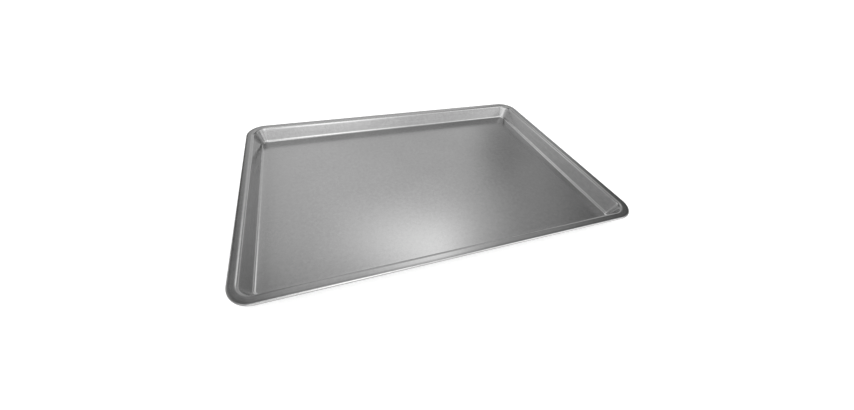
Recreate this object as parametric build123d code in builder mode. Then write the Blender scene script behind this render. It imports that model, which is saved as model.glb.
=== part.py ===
"""Jelly roll pan: one pressed steel sheet with sloping walls and a flat rim, whose edge is rolled round a stiffening wire.

The origin is the middle of the underside, on the table. X runs along the pan, Y across it and Z up. Millimetres.
"""

import os
from math import radians, tan

from build123d import *

# Overall sizes
pan_length = 410.0
pan_width = 275.0
pan_height = 16.7

# The pressed sheet
sheet = 0.4
wall_draft = 25.0  # degrees that the walls lean out from upright
floor_corner_radius = 4.6  # corners of the flat floor, in plan
foot_radius = 3.2  # bend from floor to wall, on the inside skin
brow_radius = 3.6  # bend from wall to flange, on the inside skin
flange_reach = 8.7  # from the rim's outer edge in to where the planes of flange and wall meet

# The rolled edge and its wire
wire_diameter = 1.9
wire_clearance = 0.05  # air between the wire and the sheet rolled round it
wire_gap = 0.6  # between the wire's two butted ends
curl_turn = 290.0  # degrees that the sheet is rolled round the wire

# Distances out from a corner's upright axis, the same on all four sides
wall_angle = radians(90 - wall_draft)
wall_run = (pan_height - sheet) / tan(wall_angle)
foot_line = floor_corner_radius + foot_radius * tan(wall_angle / 2)
brow_line = foot_line + wall_run
rim_edge = brow_line + flange_reach
curl_radius = wire_diameter / 2 + wire_clearance + sheet
curl_centre = rim_edge - curl_radius

# The four corner axes stand on a rectangle of this size
axes_length = pan_length - 2 * rim_edge
axes_width = pan_width - 2 * rim_edge

up = Vector(0, 0, 1)


def sides():
    """Gives each side's cross plane, its straight length and the upright axis of the corner that follows it.

    The plane stands on the corner axis, with its own X pointing out of the pan and its own Y up.
    """
    spans = [(axes_length, axes_width), (axes_width, axes_length)] * 2
    for quarter, (across, straight) in enumerate(spans):
        out = Vector(1, 0, 0).rotate(Axis.Z, 90 * quarter)
        along = Vector(0, 1, 0).rotate(Axis.Z, 90 * quarter)
        corner = out * (across / 2) + along * (straight / 2)
        yield Plane(origin=corner, x_dir=out, z_dir=out.cross(up)), straight, Axis(corner, up)


def sheet_section(plane):
    """Cuts the sheet across one side: a strip of floor, the wall, the flange and the curl round the wire."""
    with BuildSketch(plane) as section:
        with BuildLine():
            skin = FilletPolyline(
                (0, sheet),
                (foot_line, sheet),
                (brow_line, pan_height),
                (curl_centre, pan_height),
                radius=[foot_radius, brow_radius],
            )
            JernArc(start=skin @ 1, tangent=skin % 1, radius=curl_radius, arc_size=-curl_turn)
            offset(amount=sheet, side=Side.RIGHT)
        make_face()
    return section.sketch


def wire_section(plane):
    """Cuts the wire across one side, at the centre of the curl."""
    with BuildSketch(plane) as section:
        with Locations((curl_centre, pan_height - curl_radius)):
            Circle(wire_diameter / 2)
    return section.sketch


# The pressed sheet: the middle of the floor, then each side and the corner after it
with BuildPart() as pan_shell:
    with BuildSketch():
        Rectangle(axes_length, axes_width)
    extrude(amount=sheet)
    for plane, straight, corner_axis in sides():
        section = sheet_section(plane)
        extrude(section, amount=straight)
        revolve(section, axis=corner_axis, revolution_arc=90)

# The stiffening wire: one length bent to the rim's outline, its ends butted behind the far side
with BuildPart() as rim_wire:
    for plane, straight, corner_axis in sides():
        section = wire_section(plane)
        extrude(section, amount=straight)
        revolve(section, axis=corner_axis, revolution_arc=90)
    with Locations((0, axes_width / 2 + curl_centre, pan_height - curl_radius)):
        Box(wire_gap, 2 * wire_diameter, 2 * wire_diameter, mode=Mode.SUBTRACT)

pan_shell.part.label = "pan_shell"
rim_wire.part.label = "rim_wire"

os.makedirs("parts", exist_ok=True)
export_step(pan_shell.part, "parts/pan_shell.step")
export_step(rim_wire.part, "parts/rim_wire.step")
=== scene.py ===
"""The finish of a jelly roll pan: its coated steel sheet, the wire in its rim and the studio that it stands in.

Lengths are in metres and angles in degrees. The origin is the middle of the underside; X runs along the pan, Z up.
"""

import math

import bpy
import numpy as np
from mathutils import Matrix, Vector


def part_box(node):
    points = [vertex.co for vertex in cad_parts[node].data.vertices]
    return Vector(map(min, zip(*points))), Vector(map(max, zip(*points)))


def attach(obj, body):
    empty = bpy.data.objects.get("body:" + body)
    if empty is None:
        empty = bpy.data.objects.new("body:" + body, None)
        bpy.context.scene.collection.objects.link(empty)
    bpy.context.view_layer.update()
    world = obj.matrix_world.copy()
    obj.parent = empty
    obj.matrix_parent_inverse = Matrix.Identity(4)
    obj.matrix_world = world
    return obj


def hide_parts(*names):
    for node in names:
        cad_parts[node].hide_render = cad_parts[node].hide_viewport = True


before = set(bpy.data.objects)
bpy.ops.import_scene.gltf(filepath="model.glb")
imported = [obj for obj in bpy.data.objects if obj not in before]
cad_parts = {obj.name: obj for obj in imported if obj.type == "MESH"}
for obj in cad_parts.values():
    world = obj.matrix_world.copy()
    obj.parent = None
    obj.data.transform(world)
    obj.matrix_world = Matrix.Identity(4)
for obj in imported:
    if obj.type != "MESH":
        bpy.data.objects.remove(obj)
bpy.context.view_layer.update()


# The pressed sheet
# One blank of thin steel, drawn in a press into floor, sloping walls and flat flange, then rolled under at its edge.
# Both of its sides carry a sprayed and baked non-stick coating, a satin grey with fine metal flake in it.

shell_low, shell_high = (np.array(corner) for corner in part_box("pan_shell"))
pan_length, pan_width, pan_height = shell_high - shell_low
sheet = 0.0004
floor_corner_radius = 0.0046
foot_radius = 0.0032  # bend from floor to wall, on the inside skin
brow_radius = 0.0036  # bend from wall to flange, on the inside skin
flange_reach = 0.0087  # from the rim's outer edge in to where the planes of flange and wall meet
curl_radius = 0.0014
curl_turn = 290
wall_slope = 65  # up from the floor

floor_steps, foot_steps, wall_steps, brow_steps, flange_steps, curl_steps, edge_steps = 32, 14, 8, 14, 4, 40, 6
side_steps, corner_steps = 36, 28


def walk(start, heading, spans):
    """Points and headings along a bent line in one plane, and the length walked to each point.

    Each span is (length, turn, steps). A step is the chord of its own small arc: the arc's length times the sinc of half
    its turn, headed halfway between the headings at its ends. The points are the running sum of the chords.
    """
    lengths = np.concatenate([np.full(steps, length / steps) for length, turn, steps in spans])
    turns = np.radians(np.concatenate([np.full(steps, turn / steps) for length, turn, steps in spans]))
    headings = math.radians(heading) + np.concatenate([[0], np.cumsum(turns)])
    middle = headings[1:] - turns / 2
    chords = lengths * np.sinc(turns / (2 * np.pi))
    across = start[0] + np.concatenate([[0], np.cumsum(chords * np.cos(middle))])
    height = start[1] + np.concatenate([[0], np.cumsum(chords * np.sin(middle))])
    return across, height, headings, np.concatenate([[0], np.cumsum(lengths)])


def bend(radius, turn, steps):
    """A span of walk that turns at a radius: its length is the radius times the turn."""
    return radius * math.radians(abs(turn)), turn, steps


def rim_path(length, width):
    """Feet and outward directions round a rectangle whose four corners turn about their own points.

    Along a side the foot moves and the direction stays; round a corner the foot stays and the direction turns a quarter.
    A point at distance u out from the path is foot plus u times direction, so every such line is a rounded rectangle.
    """
    quarter = np.repeat(np.arange(4), side_steps + corner_steps)
    along = np.tile(np.r_[np.arange(side_steps) / side_steps, np.ones(corner_steps)], 4)
    turned = np.tile(np.r_[np.zeros(side_steps), np.arange(corner_steps) / corner_steps], 4)
    side_angle = quarter * np.pi / 2
    out = np.stack([np.cos(side_angle), np.sin(side_angle)], 1)
    left = np.stack([-out[:, 1], out[:, 0]], 1)
    half_out = np.where(quarter % 2 == 0, length, width) / 2
    half_along = np.where(quarter % 2 == 0, width, length) / 2
    feet = out * half_out[:, None] + left * (half_along * (2 * along - 1))[:, None]
    angle = side_angle + turned * np.pi / 2
    return feet, np.stack([np.cos(angle), np.sin(angle)], 1)


def closed_mesh(name, rings, poles, run, rise):
    """A closed skin through rings of points, each ring joined to the next by quads and each end by a fan to its pole.

    rings is an array (ring, point, xyz) and poles the two end points. The UV map holds run, the distance round, and rise,
    the distance from ring to ring, both in metres.
    """
    ring_count, point_count = rings.shape[:2]
    ring = np.arange(ring_count - 1)[:, None] * point_count
    here = np.arange(point_count)[None, :]
    ahead = (here + 1) % point_count
    quads = np.stack([ring + here, ring + point_count + here, ring + point_count + ahead, ring + ahead], -1)
    first_pole, last_pole = ring_count * point_count, ring_count * point_count + 1
    last = (ring_count - 1) * point_count
    start_fan = np.stack([here[0], ahead[0], np.full(point_count, first_pole)], -1)
    end_fan = np.stack([last + ahead[0], last + here[0], np.full(point_count, last_pole)], -1)
    mesh = bpy.data.meshes.new(name)
    points = np.concatenate([rings.reshape(-1, 3), poles])
    mesh.from_pydata(points.tolist(), [], [*quads.reshape(-1, 4).tolist(), *start_fan.tolist(), *end_fan.tolist()])
    mesh.shade_smooth()
    step = np.arange(point_count)
    quad_u = np.stack([run[step], run[step], run[step + 1], run[step + 1]], -1)
    quad_v = np.stack([rise[:-1], rise[1:], rise[1:], rise[:-1]], -1)
    quad_uv = np.stack(np.broadcast_arrays(quad_u[None], quad_v[:, None]), -1).reshape(-1, 2)
    start_uv = np.stack([run[step], np.full(point_count, rise[0])] * 3, -1).reshape(-1, 2)
    end_uv = np.stack([run[step], np.full(point_count, rise[-1])] * 3, -1).reshape(-1, 2)
    layer = mesh.uv_layers.new(name="skin")
    layer.data.foreach_set("uv", np.concatenate([quad_uv, start_uv, end_uv]).astype(np.float32).ravel())
    piece = bpy.data.objects.new(name, mesh)
    bpy.context.scene.collection.objects.link(piece)
    return piece


# The section: floor corner, foot, wall, brow, flange and roll on the inside skin, and the same line a sheet below it
half_bend = math.tan(math.radians(wall_slope / 2))
slanted = (pan_height - sheet) / math.sin(math.radians(wall_slope))
flat_wall = slanted - (foot_radius + brow_radius) * half_bend
wall_run = (pan_height - sheet) / math.tan(math.radians(wall_slope))
rim_edge = floor_corner_radius + foot_radius * half_bend + wall_run + flange_reach
feet, outward = rim_path(pan_length - 2 * rim_edge, pan_width - 2 * rim_edge)

across, height, heading, risen = walk(
    (floor_corner_radius, sheet),
    0,
    [
        bend(foot_radius, wall_slope, foot_steps),
        (flat_wall, 0, wall_steps),
        bend(brow_radius, -wall_slope, brow_steps),
        (flange_reach - brow_radius * half_bend - curl_radius, 0, flange_steps),
        bend(curl_radius, -curl_turn, curl_steps),
    ],
)
under_across = across + sheet * np.sin(heading)
under_height = height - sheet * np.cos(heading)

# The sheet's cut edge inside the roll, rounded: a half circle from one skin to the other
edge_share = np.arange(1, edge_steps) / edge_steps
edge_angle = heading[-1] + np.radians(90 - 180 * edge_share)
edge_across = (across[-1] + under_across[-1]) / 2 + sheet / 2 * np.cos(edge_angle)
edge_height = (height[-1] + under_height[-1]) / 2 + sheet / 2 * np.sin(edge_angle)
edge_risen = risen[-1] + sheet / 2 * math.pi * edge_share

# The rings: from the middle of the floor out over the inside skin, round the cut edge and back along the underside
floor_share = np.arange(1, floor_steps) / floor_steps
floor_across = np.full(len(floor_share), across[0])
floor_height = np.full(len(floor_share), sheet)
floor_reach = pan_width / 2 - rim_edge + floor_corner_radius
section_share = np.r_[floor_share, np.ones(2 * len(across) + len(edge_across)), floor_share[::-1]]
section_across = np.r_[floor_across, across, edge_across, under_across[::-1], floor_across]
section_height = np.r_[floor_height, height, edge_height, under_height[::-1], np.zeros(len(floor_share))]
under_risen = 2 * edge_risen[-1] - edge_risen[0] + risen[-1] - risen[::-1]
under_floor_risen = under_risen[-1] + (1 - floor_share[::-1]) * floor_reach
section_rise = np.r_[(floor_share - 1) * floor_reach, risen, edge_risen, under_risen, under_floor_risen]

flat = section_share[:, None, None] * (feet[None] + section_across[:, None, None] * outward[None])
shell_rings = np.concatenate([flat, np.broadcast_to(section_height[:, None, None], flat.shape[:2] + (1,))], -1)
rim_line = feet + rim_edge * outward
rim_chords = np.linalg.norm(np.diff(np.vstack([rim_line, rim_line[:1]]), axis=0), axis=1)
rim_run = np.r_[0, np.cumsum(rim_chords)]
shell = closed_mesh("coated_shell", shell_rings, np.array([[0, 0, sheet], [0, 0, 0]]), rim_run, section_rise)


def material(name):
    """A new material and its Principled shader."""
    made = bpy.data.materials.new(name)
    made.use_nodes = True
    return made, made.node_tree.nodes["Principled BSDF"]


def node(tree, kind, inputs, **settings):
    """A new node of a tree with its settings, each named or numbered input linked from a socket or set to a value."""
    made = tree.nodes.new("ShaderNode" + kind)
    for name, value in settings.items():
        setattr(made, name, value)
    for name, value in inputs.items():
        if isinstance(value, bpy.types.NodeSocket):
            tree.links.new(value, made.inputs[name])
        else:
            made.inputs[name].default_value = value
    return made


def sum_of(tree, value, scale, base):
    """A value times a scale plus a base, each of them a socket or a number."""
    return node(tree, "Math", {0: value, 1: scale, 2: base}, operation="MULTIPLY_ADD").outputs[0]


def product(tree, *values):
    """The product of several sockets or numbers."""
    result = values[0]
    for value in values[1:]:
        result = node(tree, "Math", {0: result, 1: value}, operation="MULTIPLY").outputs[0]
    return result


def ramp(tree, value, start, end, low, high, shape="LINEAR"):
    """A value turned from the range start to end into the range low to high, and held at both ends."""
    sockets = {"Value": value, "From Min": start, "From Max": end, "To Min": low, "To Max": high}
    return node(tree, "MapRange", sockets, interpolation_type=shape).outputs["Result"]


def fade(tree, value, start, end):
    """A smooth change from 0 at the value start to 1 at the value end, which may be the smaller one."""
    return ramp(tree, value, start, end, 0, 1, "SMOOTHSTEP")


def band(tree, value, start, end, soft):
    """1 between two limits of a value and 0 beyond them, with a smooth change as wide as soft at each limit."""
    rise = fade(tree, value, start - soft / 2, start + soft / 2)
    fall = fade(tree, value, end + soft / 2, end - soft / 2)
    return product(tree, rise, fall)


def shade(tree, mask, factor):
    """1 where a mask is 0 and the factor where it is 1, in proportion between them."""
    return ramp(tree, mask, 0, 1, 1, factor)


def noise(tree, place, size, detail, roughness):
    """Cloudy values about 0.5. The largest patches are about one size across, and each detail adds finer ones."""
    sockets = {"Vector": place, "Scale": 1 / size, "Detail": detail, "Roughness": roughness}
    return node(tree, "TexNoise", sockets).outputs["Fac"]


def about(tree, cloudy, middle, spread, reach=0.2):
    """A noise turned into values about a middle: the middle less or plus the spread where the noise is 0.5 -+ reach."""
    return ramp(tree, cloudy, 0.5 - reach, 0.5 + reach, middle - spread, middle + spread)


def bump(tree, height, distance, under=None):
    """A normal bent by a height field of this depth, over another one where given."""
    sockets = {"Height": height, "Distance": distance, "Strength": 1}
    if under:
        sockets["Normal"] = under
    return node(tree, "Bump", sockets).outputs["Normal"]


def skin_place(tree, length_round, size_round, size_across):
    """A place on the skin for a pattern that meets itself after one turn, and the rise there in metres.

    The distance round is wound on a circle of the same length and the rise stands upright on it. Each is counted in the
    pattern's own size that way.
    """
    skin = node(tree, "SeparateXYZ", {0: node(tree, "UVMap", {}, uv_map="skin").outputs["UV"]})
    angle = product(tree, skin.outputs["X"], 2 * math.pi / length_round)
    radius = length_round / (2 * math.pi) / size_round
    winding = {
        "X": product(tree, node(tree, "Math", {0: angle}, operation="COSINE").outputs[0], radius),
        "Y": product(tree, node(tree, "Math", {0: angle}, operation="SINE").outputs[0], radius),
        "Z": product(tree, skin.outputs["Y"], 1 / size_across),
    }
    return node(tree, "CombineXYZ", winding).outputs[0], skin.outputs["Y"]


coating_grey = 0.42
coating_roughness = 0.19
flake_size, flake_contrast, flake_depth = 0.0008, 0.06, 0.000002
peel_size, peel_depth = 0.0016, 0.000005
mottle_size, mottle_contrast, mottle_dulling = 0.004, 0.04, 0.012
cloud_size, cloud_contrast, cloud_dulling, cloud_reach = 0.05, 0.015, 0.008, 0.15
streak_length, streak_width, streak_contrast, streak_depth = 0.03, 0.002, 0.04, 0.000006

coating, coating_shader = material("satin_coating")
coat = coating.node_tree
place = node(coat, "TexCoord", {}).outputs["Object"]
from_middle_x, from_middle_y, above_table = node(coat, "SeparateXYZ", {0: place}).outputs
draw_place, rise = skin_place(coat, rim_run[-1], streak_length, streak_width)
flakes = noise(coat, place, flake_size, 3, 0.6)
mottle = noise(coat, place, mottle_size, 3, 0.55)
clouds = noise(coat, place, cloud_size, 2, 0.5)
streaks = noise(coat, draw_place, 1, 3, 0.6)

# Where the sheet was bent and drawn: the walls are streaked, the foot has a painted highlight, the brow painted shade
foot_end = foot_radius * math.radians(wall_slope)
wall_end = foot_end + flat_wall
brow_end = wall_end + brow_radius * math.radians(wall_slope)
drawn_low, drawn_below_rim, drawn_soft = 0.002, 0.0025, 0.002
foot_soft, brow_soft = 0.0015, 0.0012
drawn = band(coat, above_table, drawn_low, pan_height - drawn_below_rim, drawn_soft)
foot = band(coat, rise, 0, foot_end, foot_soft)
brow = band(coat, rise, wall_end, brow_end, brow_soft)

# Where the edge was rolled: painted shade darkens the roll and the crease before it, and more from the roll's outer
# side on, under the pan too
roll_start = risen[-1 - curl_steps]
roll_end = risen[-1]
roll_soft, crease_width, crease_soft = 0.0008, 0.0016, 0.0006
under_start, under_full = 0.0009, 0.0015  # distances round the roll
rolled = band(coat, rise, roll_start, roll_end, roll_soft)
roll_under_painted_shade = fade(coat, rise, roll_start + under_start, roll_start + under_full)
crease = band(coat, rise, roll_start - crease_width, roll_start, crease_soft)

# Along the near side: a painted highlight brightens the rolled edge and painted shade darkens the brow behind it
# Each pair of distances is where the painted light starts and where it is full
highlight_in, highlight_down, near_shade_in = (0.0016, 0.0006), (0.0016, 0.0010), (0.024, 0.018)
from_near_edge = sum_of(coat, from_middle_y, 1, pan_width / 2)
from_top = sum_of(coat, above_table, -1, pan_height)
near_edge_painted_highlight = product(coat, fade(coat, from_near_edge, *highlight_in), fade(coat, from_top, *highlight_down))
near_brow_painted_shade = product(coat, fade(coat, from_near_edge, *near_shade_in), brow)

# Round the corners, where the sheet was drawn the most: the wall and the brow are rougher, and painted shade makes them
# darker
corner_start, corner_full, corner_soft = -0.001, 0.006, 0.002  # past the end of the straight side
round_corner = []
for from_middle, end in ((from_middle_x, pan_length / 2 - rim_edge), (from_middle_y, pan_width / 2 - rim_edge)):
    distance = node(coat, "Math", {0: from_middle}, operation="ABSOLUTE").outputs[0]
    round_corner.append(fade(coat, distance, end + corner_start, end + corner_full))
corners = product(coat, *round_corner, band(coat, rise, foot_end, brow_end, corner_soft))
corner_brow_painted_shade = product(coat, *round_corner, brow)

# Each place of painted light and wear: what its grey is multiplied by, a painted highlight above 1 and painted shade
# below, and what is added to its roughness
painted_light_and_wear = (
    (foot, 1.05, -0.015),
    (brow, 0.95, -0.015),
    (rolled, 0.75, 0.03),
    (roll_under_painted_shade, 0.85, 0),
    (crease, 0.84, 0),
    (near_edge_painted_highlight, 1.75, 0),
    (near_brow_painted_shade, 0.93, 0),
    (corners, 0.92, 0.05),
    (corner_brow_painted_shade, 0.86, 0),
)

# The coating's grey: its own flake, mottle, clouds and drawing streaks, times the painted highlights and shade listed
# above
grey = product(
    coat,
    about(coat, flakes, coating_grey, coating_grey * flake_contrast),
    about(coat, mottle, 1, mottle_contrast),
    about(coat, clouds, 1, cloud_contrast, cloud_reach),
    sum_of(coat, about(coat, streaks, 0, streak_contrast), drawn, 1),
    *(shade(coat, mask, factor) for mask, factor, _ in painted_light_and_wear),
)
coat.links.new(grey, coating_shader.inputs["Base Color"])
gloss = sum_of(coat, about(coat, mottle, 0, mottle_dulling), 1, coating_roughness)
gloss = sum_of(coat, about(coat, clouds, 0, cloud_dulling, cloud_reach), 1, gloss)
for mask, _, roughening in painted_light_and_wear:
    gloss = sum_of(coat, mask, roughening, gloss)
coat.links.new(gloss, coating_shader.inputs["Roughness"])
peel = bump(coat, noise(coat, place, peel_size, 2, 0.5), peel_depth)
grain = bump(coat, flakes, flake_depth, peel)
drawing = bump(coat, product(coat, streaks, drawn), streak_depth, grain)
coat.links.new(drawing, coating_shader.inputs["Normal"])
coating_shader.inputs["Metallic"].default_value = 1
shell.data.materials.append(coating)
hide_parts("pan_shell")
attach(shell, "root")


# The wire in the rim
# One length of drawn steel wire, bent to the rim's outline and held in the rolled edge. Its two cut ends butt together
# behind the far side, and it shows only from below, through the gap that the roll leaves.

wire_radius = 0.00095
wire_gap = 0.0006
wire_chamfer = 0.0001
wire_points = 20
wire_grey, wire_contrast = 0.5, 0.12
wire_roughness, wire_dulling = 0.34, 0.06
die_line_width, die_line_length, die_line_depth = 0.00025, 0.03, 0.000008
patch_size, patch_contrast = 0.012, 0.08

far_middle = side_steps + corner_steps + side_steps // 2
wire_feet = np.roll(feet, -far_middle, 0)
wire_outward = np.roll(outward, -far_middle, 0)
wire_feet = np.vstack([wire_feet[:1], wire_feet, wire_feet[:1], wire_feet[:1]])
wire_outward = np.vstack([wire_outward[:1], wire_outward, wire_outward[:1], wire_outward[:1]])
wire_feet[[0, 1, -2, -1], 0] = np.array([-1, -1, 1, 1]) * wire_gap / 2 + np.array([0, -1, 1, 0]) * wire_chamfer
wire_height = np.full(len(wire_feet), pan_height - curl_radius)
wire_centre = np.column_stack([wire_feet + (rim_edge - curl_radius) * wire_outward, wire_height])
thickness = np.full(len(wire_centre), wire_radius)
thickness[[0, -1]] -= wire_chamfer
angle_round = np.arange(wire_points) / wire_points * 2 * np.pi
spoke_out = np.cos(angle_round)[None, :, None] * np.column_stack([wire_outward, np.zeros(len(wire_outward))])[:, None]
spoke_up = np.sin(angle_round)[None, :, None] * np.array([0, 0, 1])
wire_rings = wire_centre[:, None] + thickness[:, None, None] * (spoke_out + spoke_up)
wire_rise = np.r_[0, np.cumsum(np.linalg.norm(np.diff(wire_centre, axis=0), axis=1))]
wire_run = np.linspace(0, 2 * np.pi * wire_radius, wire_points + 1)
wire = closed_mesh("stiffening_wire", wire_rings, wire_centre[[0, -1]], wire_run, wire_rise)

drawn_steel, drawn_shader = material("drawn_wire")
steel = drawn_steel.node_tree
line_place, _ = skin_place(steel, wire_run[-1], die_line_width, die_line_length)
die_lines = noise(steel, line_place, 1, 3, 0.6)
dull_patches = noise(steel, node(steel, "TexCoord", {}).outputs["Object"], patch_size, 3, 0.6)
wire_shade = product(
    steel,
    about(steel, die_lines, wire_grey, wire_grey * wire_contrast),
    about(steel, dull_patches, 1, patch_contrast),
)
steel.links.new(wire_shade, drawn_shader.inputs["Base Color"])
steel.links.new(about(steel, dull_patches, wire_roughness, -wire_dulling), drawn_shader.inputs["Roughness"])
steel.links.new(bump(steel, die_lines, die_line_depth), drawn_shader.inputs["Normal"])
drawn_shader.inputs["Metallic"].default_value = 1
wire.data.materials.append(drawn_steel)
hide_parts("rim_wire")
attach(wire, "root")


# The table
# A plain white sweep under the pan. It shows white to the eye and in the metal, and keeps the pan's soft shadow.

table_size = 30
table_white = 0.8
table_glow = 0.5

bpy.ops.mesh.primitive_plane_add(size=table_size)
table = bpy.context.object
table.name = "table"
table_finish, table_shader = material("white_table")
table_tree = table_finish.node_tree
table_shader.inputs["Base Color"].default_value = (table_white, table_white, table_white, 1)
table_shader.inputs["Roughness"].default_value = 1
table_shader.inputs["Specular IOR Level"].default_value = 0
ray = node(table_tree, "LightPath", {}).outputs
seen = node(table_tree, "Math", {0: ray["Is Camera Ray"], 1: ray["Is Glossy Ray"]}, operation="MAXIMUM").outputs[0]
seen = node(table_tree, "Math", {0: seen, 1: ray["Is Transmission Ray"]}, operation="MAXIMUM").outputs[0]
table_tree.links.new(product(table_tree, seen, table_glow), table_shader.inputs["Emission Strength"])
table_shader.inputs["Emission Color"].default_value = (1, 1, 1, 1)
table.data.materials.append(table_finish)


# The room
# A plain studio: pale at the horizon and overhead and dim between, with soft-edged panels of light behind, before and
# over the pan, and a few small round lamps. Azimuths are clockwise from +Y, and elevations are up from the horizon.

horizon_light = 0.57
middle_light = 0
top_light = 0.99
horizon_end = 24
top_start, top_end = 53, 83

room = bpy.data.worlds.new("room")
room.use_nodes = True
sky = room.node_tree
toward = node(sky, "TexCoord", {}).outputs["Generated"]


def direction(azimuth, elevation):
    """The unit vector toward a place in the sky: (sin azimuth cos elevation, cos azimuth cos elevation, sin elevation)."""
    azimuth, elevation = math.radians(azimuth), math.radians(elevation)
    level = math.cos(elevation)
    return Vector((math.sin(azimuth) * level, math.cos(azimuth) * level, math.sin(elevation)))


def share_along(axis):
    """The share of the looked-at direction along an axis: their dot product."""
    return node(sky, "VectorMath", {0: toward, 1: axis}, operation="DOT_PRODUCT").outputs["Value"]


def panel(brightness, azimuth, elevation, half_width, half_height, soft_left, soft_right, soft_upright):
    """The light of one feathered panel: its brightness inside it and a smooth fall to 0 across each edge.

    A direction's place on the panel is a pair of angles from the panel's middle, across and up, each the arctangent of
    the direction's share along that axis over its share along the line to the middle.
    """
    middle = direction(azimuth, elevation)
    sideways = direction(azimuth + 90, 0)
    onward = share_along(middle)
    across_angle, up_angle = (
        node(sky, "Math", {0: share_along(axis), 1: onward}, operation="ARCTAN2").outputs[0]
        for axis in (sideways, sideways.cross(middle))
    )
    edges = (
        (across_angle, -half_width, soft_left),
        (across_angle, half_width, -soft_right),
        (up_angle, -half_height, soft_upright),
        (up_angle, half_height, -soft_upright),
    )
    shares = (fade(sky, angle, math.radians(at - soft / 2), math.radians(at + soft / 2)) for angle, at, soft in edges)
    return product(sky, brightness, *shares)


def lamp(brightness, azimuth, elevation, spread):
    """The light of one round soft lamp: its brightness times e to the power (cosine of the angle off it - 1) / spread²."""
    sharp = 1 / math.radians(spread) ** 2
    power = sum_of(sky, share_along(direction(azimuth, elevation)), sharp, -sharp)
    return product(sky, node(sky, "Math", {0: math.e, 1: power}, operation="POWER").outputs[0], brightness)


# Each panel: brightness, azimuth, elevation, half width, half height, softness of its left, right and level edges
panels = [
    panel(1.52, 25, 52, 7.2, 5, 33.8, 9, 13.3),
    panel(0.84, -175.7, 36.6, 52.1, 33.2, 9.1, 12, 45),
    panel(0.78, 11, 42.7, 22.4, 18.5, 9, 10.6, 20.8),
    panel(2.30, -45.4, 31.1, 6.7, 16, 39.3, 18.6, 23.5),
    panel(0.55, 24.4, 12.9, 32.6, 13.5, 17.8, 45, 9),
    panel(2.30, -45.4, 75.8, 6.1, 9.4, 9, 26.6, 9),
    panel(1.26, -116.4, 31.5, 42.6, 9.6, 15.8, 26.8, 9),
    panel(2.04, 176.1, 46.4, 9.7, 21.6, 25.5, 9, 14.6),
    panel(0.39, 49.4, 33.5, 7.1, 15, 9, 15.5, 9),
]
# Each lamp: brightness, azimuth, elevation, spread
lamps = [
    lamp(1.85, 130.2, 42.8, 9),
    lamp(2.50, 132.9, 1.2, 9),
    lamp(1.54, 95, 26.3, 9),
    lamp(0.61, 84.4, 53.4, 12.8),
    lamp(0.15, -1, 31.3, 9),
]
height_in_sky = node(sky, "SeparateXYZ", {0: toward}).outputs["Z"]
angle_up = node(sky, "Math", {0: height_in_sky}, operation="ARCSINE").outputs[0]
dimming = fade(sky, angle_up, 0, math.radians(horizon_end))
brightening = fade(sky, angle_up, math.radians(top_start), math.radians(top_end))
light = sum_of(sky, dimming, middle_light - horizon_light, horizon_light)
light = sum_of(sky, brightening, top_light - middle_light, light)
for glow in panels + lamps:
    light = sum_of(sky, glow, 1, light)
sky.links.new(light, sky.nodes["Background"].inputs["Strength"])
sky.nodes["Background"].inputs["Color"].default_value = (1, 1, 1, 1)
bpy.context.scene.world = room


# The camera
# It looks down on the pan from its near left, close by and with a wide lens, as the photograph was taken.
# Its focal length and the foot of its axis are in pixels of the photograph.

eye = Vector((-0.11350, -0.27195, 0.23185))
look_azimuth = math.radians(20.936)
look_drop = math.radians(44.438)
tilt = math.radians(4.78)
picture_width = 854
picture_height = 410
focal_pixels = 293.78
axis_x = 411.1
axis_y = 207.73
sensor_width = 36  # millimetres

level = Vector((math.cos(look_azimuth), -math.sin(look_azimuth), 0))
ahead = Vector((math.sin(look_azimuth), math.cos(look_azimuth), 0)) * math.cos(look_drop)
ahead.z = -math.sin(look_drop)
above = level.cross(ahead)
right = level * math.cos(tilt) + above * math.sin(tilt)
up = above * math.cos(tilt) - level * math.sin(tilt)
lens = bpy.data.cameras.new("camera")
lens.sensor_width = sensor_width
lens.lens = focal_pixels / picture_width * sensor_width
lens.shift_x = (picture_width / 2 - axis_x) / picture_width
lens.shift_y = (axis_y - picture_height / 2) / picture_width
lens.clip_start = 0.01
camera = bpy.data.objects.new("camera", lens)
camera.matrix_world = Matrix.Translation(eye) @ Matrix((right, up, -ahead)).transposed().to_4x4()
bpy.context.scene.collection.objects.link(camera)
bpy.context.scene.camera = camera
bpy.context.scene.view_settings.view_transform = "Standard"
